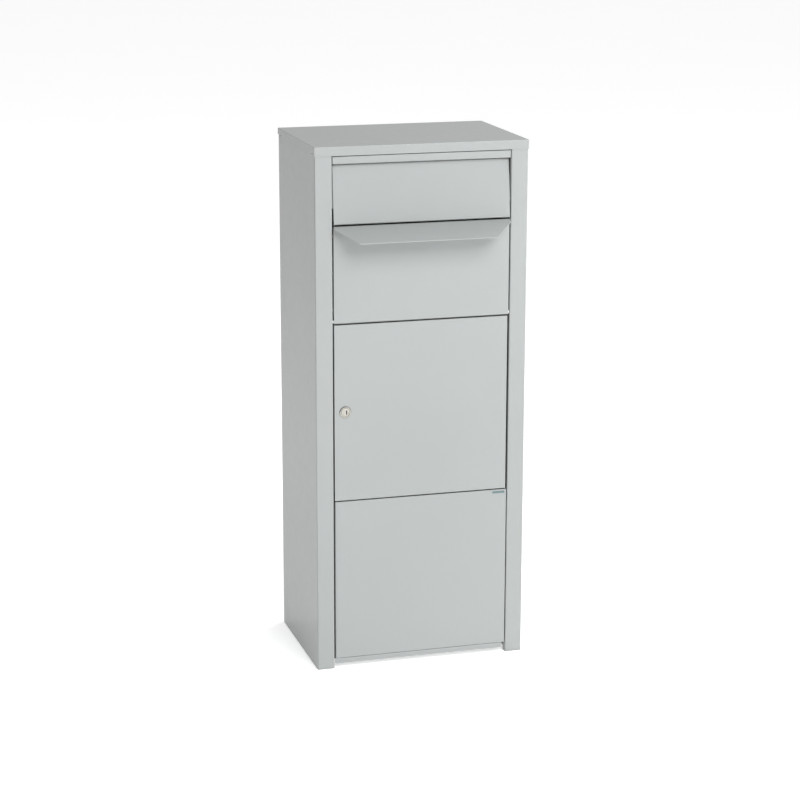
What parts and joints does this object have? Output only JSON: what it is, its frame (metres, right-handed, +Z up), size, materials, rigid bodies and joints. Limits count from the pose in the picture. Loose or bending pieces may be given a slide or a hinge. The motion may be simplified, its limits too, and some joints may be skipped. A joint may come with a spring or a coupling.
{
  "type": "parcel drop box",
  "caption": "Free-standing steel parcel drop box with a pull-down deposit hatch and hopper above a lockable emptying door.",
  "frame": {"origin": "middle of the base of the whole object's box, on the floor; the handle lip counts in the box, so the cabinet itself is 24.5 mm further back", "axes": "+X to the right as seen from the front, +Y from the front to the back, +Z up"},
  "size_m": [0.4106, 0.3372, 1],
  "materials": {
    "powder_coat": "semi-gloss powder coat",
    "powder_coat_inner": "semi-gloss powder coat",
    "zinc_plate": "bright zinc plate",
    "rivet_aluminium": "satin",
    "nickel_plate": "polished nickel plate",
    "rubber": "matt",
    "nylon": "natural nylon",
    "label_blank": "satin, blank"
  },
  "bodies": {
    "cabinet": {"apron_bracket_left": "powder_coat_inner", "apron_bracket_right": "powder_coat_inner", "apron_panel": "powder_coat", "back_panel": "powder_coat", "back_rivets": "rivet_aluminium", "base_pan": "powder_coat", "cap_rivets": "rivet_aluminium", "door_buffers": "rubber", "door_pin_lower": "zinc_plate", "door_pin_upper": "zinc_plate", "door_stop_lower": "zinc_plate", "door_stop_upper": "zinc_plate", "door_washer_lower": "nylon", "door_washer_upper": "nylon", "guard_rivets": "rivet_aluminium", "hatch_buffers": "rubber", "hatch_bush_left": "nylon", "hatch_bush_right": "nylon", "hatch_pin_left": "zinc_plate", "hatch_pin_right": "zinc_plate", "hatch_stop_bracket_left": "zinc_plate", "hatch_stop_bracket_right": "zinc_plate", "header_rail": "powder_coat", "hinge_bracket_lower": "zinc_plate", "hinge_bracket_upper": "zinc_plate", "hopper_guard": "powder_coat_inner", "jamb_rivets": "rivet_aluminium", "label_plate": "label_blank", "lip_rivets": "rivet_aluminium", "lower_front_panel": "powder_coat", "mid_rail": "powder_coat_inner", "side_panel_left": "powder_coat", "side_panel_right": "powder_coat", "strike_plate": "zinc_plate", "strike_rivets": "rivet_aluminium", "top_cap": "powder_coat"},
    "hatch": {"hatch_panel": "powder_coat", "hatch_cheek_right": "powder_coat_inner", "hatch_cheek_left": "powder_coat_inner", "hopper_tray": "powder_coat_inner", "open_stop_right": "zinc_plate", "open_stop_left": "zinc_plate", "cheek_rivets": "rivet_aluminium", "tray_rivets": "rivet_aluminium"},
    "door": {"door_panel": "powder_coat", "door_stiffener": "powder_coat_inner", "lock_housing": "nickel_plate", "lock_nut": "nickel_plate"},
    "lock": {"lock_plug": "nickel_plate", "lock_cam": "zinc_plate", "cam_screw": "zinc_plate"}
  },
  "joints": [
    {"name": "hatch_hinge", "type": "hinge", "parent": "cabinet", "child": "hatch", "pos_m": [0, -0.113, 0.6759], "axis": [1, 0, 0], "range_deg": [0, 50]},
    {"name": "door_hinge", "type": "hinge", "parent": "cabinet", "child": "door", "pos_m": [0.1599, -0.1115, 0.5], "axis": [0, 0, 1], "range_deg": [0, 110]},
    {"name": "lock_turn", "type": "hinge", "parent": "door", "child": "lock", "pos_m": [-0.1481, -0.1185, 0.5035], "axis": [0, 1, 0], "range_deg": [0, 90]}
  ]
}
